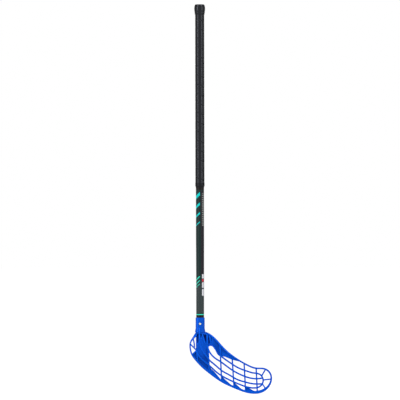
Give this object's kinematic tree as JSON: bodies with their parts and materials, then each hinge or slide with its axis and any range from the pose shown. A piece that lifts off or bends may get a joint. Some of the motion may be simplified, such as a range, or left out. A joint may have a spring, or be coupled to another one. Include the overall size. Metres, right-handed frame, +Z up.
{
  "type": "floorball stick",
  "caption": "Floorball stick: a tapered tube with a wound grip and rubber end cap, and a curved, ribbed, open plastic blade held on its lower end by a screw",
  "frame": {"origin": "on the shaft's axis, halfway along the wound grip, where the stick is held", "axes": "+Z up along the shaft to the end cap, +X from the shaft to the blade's toe, -Y out of the blade's hollow face"},
  "size_m": [0.2422, 0.046, 1.1441],
  "materials": {
    "shaft": "gloss",
    "end_cap": "matte",
    "grip_tape": "matte",
    "finishing_band": "matte",
    "blade": "satin",
    "blade_screw": "satin"
  },
  "bodies": {
    "stick": {"shaft": "shaft", "grip_tape": "grip_tape", "finishing_band": "finishing_band", "blade": "blade"},
    "cap": {"end_cap": "end_cap"},
    "screw": {"blade_screw": "blade_screw"}
  },
  "joints": [
    {"name": "cap_pull", "type": "slide", "parent": "stick", "child": "cap", "axis": [0, 0, 1], "range_m": [0, 0.045]},
    {"name": "screw_out", "type": "slide", "parent": "stick", "child": "screw", "axis": [0, -1, 0], "range_m": [0, 0.012]}
  ]
}
